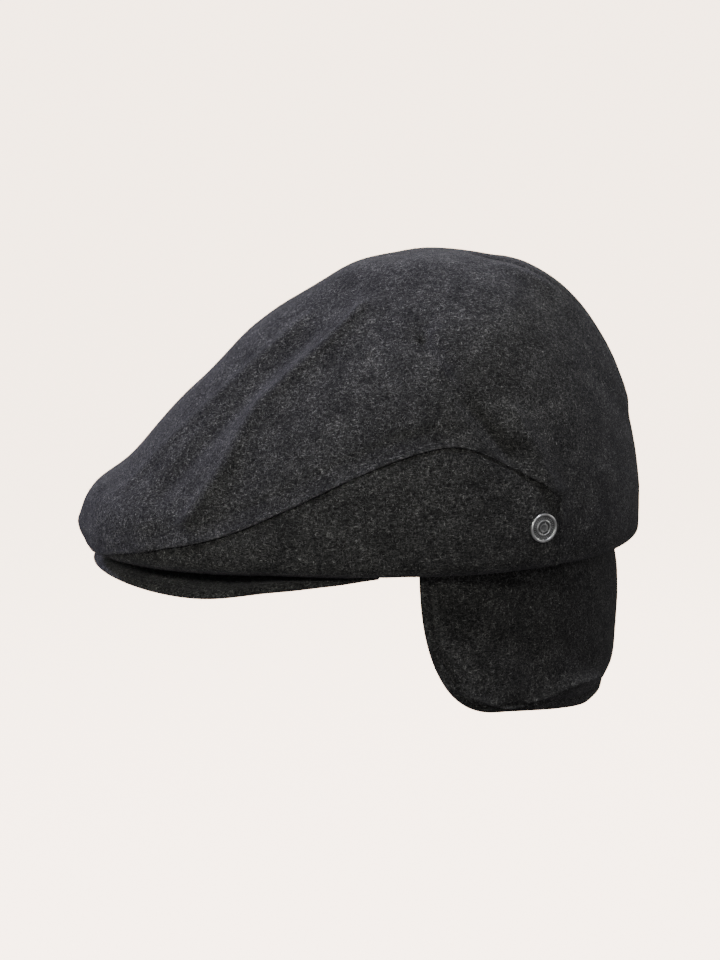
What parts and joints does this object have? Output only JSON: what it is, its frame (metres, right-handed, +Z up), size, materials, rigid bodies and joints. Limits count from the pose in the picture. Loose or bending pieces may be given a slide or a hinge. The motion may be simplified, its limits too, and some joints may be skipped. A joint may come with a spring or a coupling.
{
  "type": "flat cap with ear flap",
  "caption": "Flat wool cap: a domed top panel over two side panels, a stiff crescent brim, an ear and neck flap folded down, and a small round metal badge.",
  "frame": {"origin": "middle of the head opening, in its plane, where the cap sits on a head", "axes": "+Z up to the crown, -Y forward over the brim, +X to the wearer's left"},
  "size_m": [0.1878, 0.266, 0.211],
  "materials": {
    "wool": "charcoal melange felted wool, matt, with fine light fibres",
    "badge_metal": "aged silver, satin, darker in its recesses"
  },
  "bodies": {
    "root": {"top_panel": "wool", "side_panel_left": "wool", "side_panel_right": "wool", "brim": "wool", "ear_flap": "wool", "badge": "badge_metal"}
  },
  "joints": []
}
